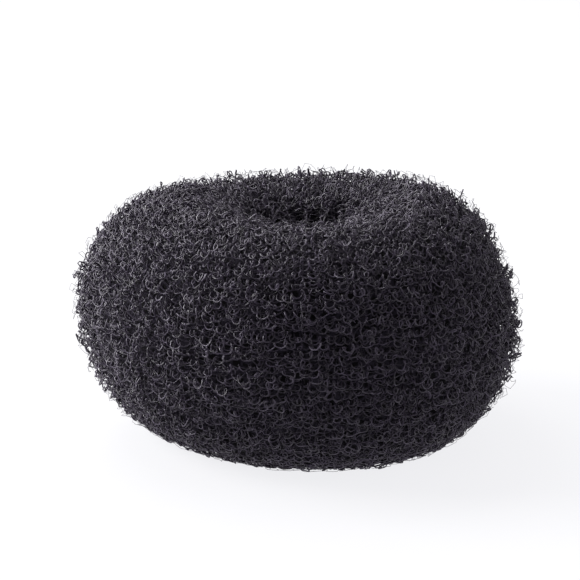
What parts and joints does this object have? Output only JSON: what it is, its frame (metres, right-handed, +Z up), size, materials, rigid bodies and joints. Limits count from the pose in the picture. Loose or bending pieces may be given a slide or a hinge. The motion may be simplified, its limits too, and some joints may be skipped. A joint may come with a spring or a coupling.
{
  "type": "hair donut bun maker",
  "caption": "Thick soft ring of rolled crimped net that fills out a hair bun, with a narrow gathered hole for the ponytail.",
  "frame": {"origin": "on the upright axis of the ponytail hole, in the plane that the ring rests on", "axes": "+Z up out of the hole, +X to the right of the picture, +Y away from its camera"},
  "size_m": [0.1008, 0.0995, 0.0557],
  "materials": {
    "crimped_net": "open net of crimped black nylon monofilament, satin thread with dark gaps"
  },
  "bodies": {
    "root": {"net_roll": "crimped_net"}
  },
  "joints": []
}
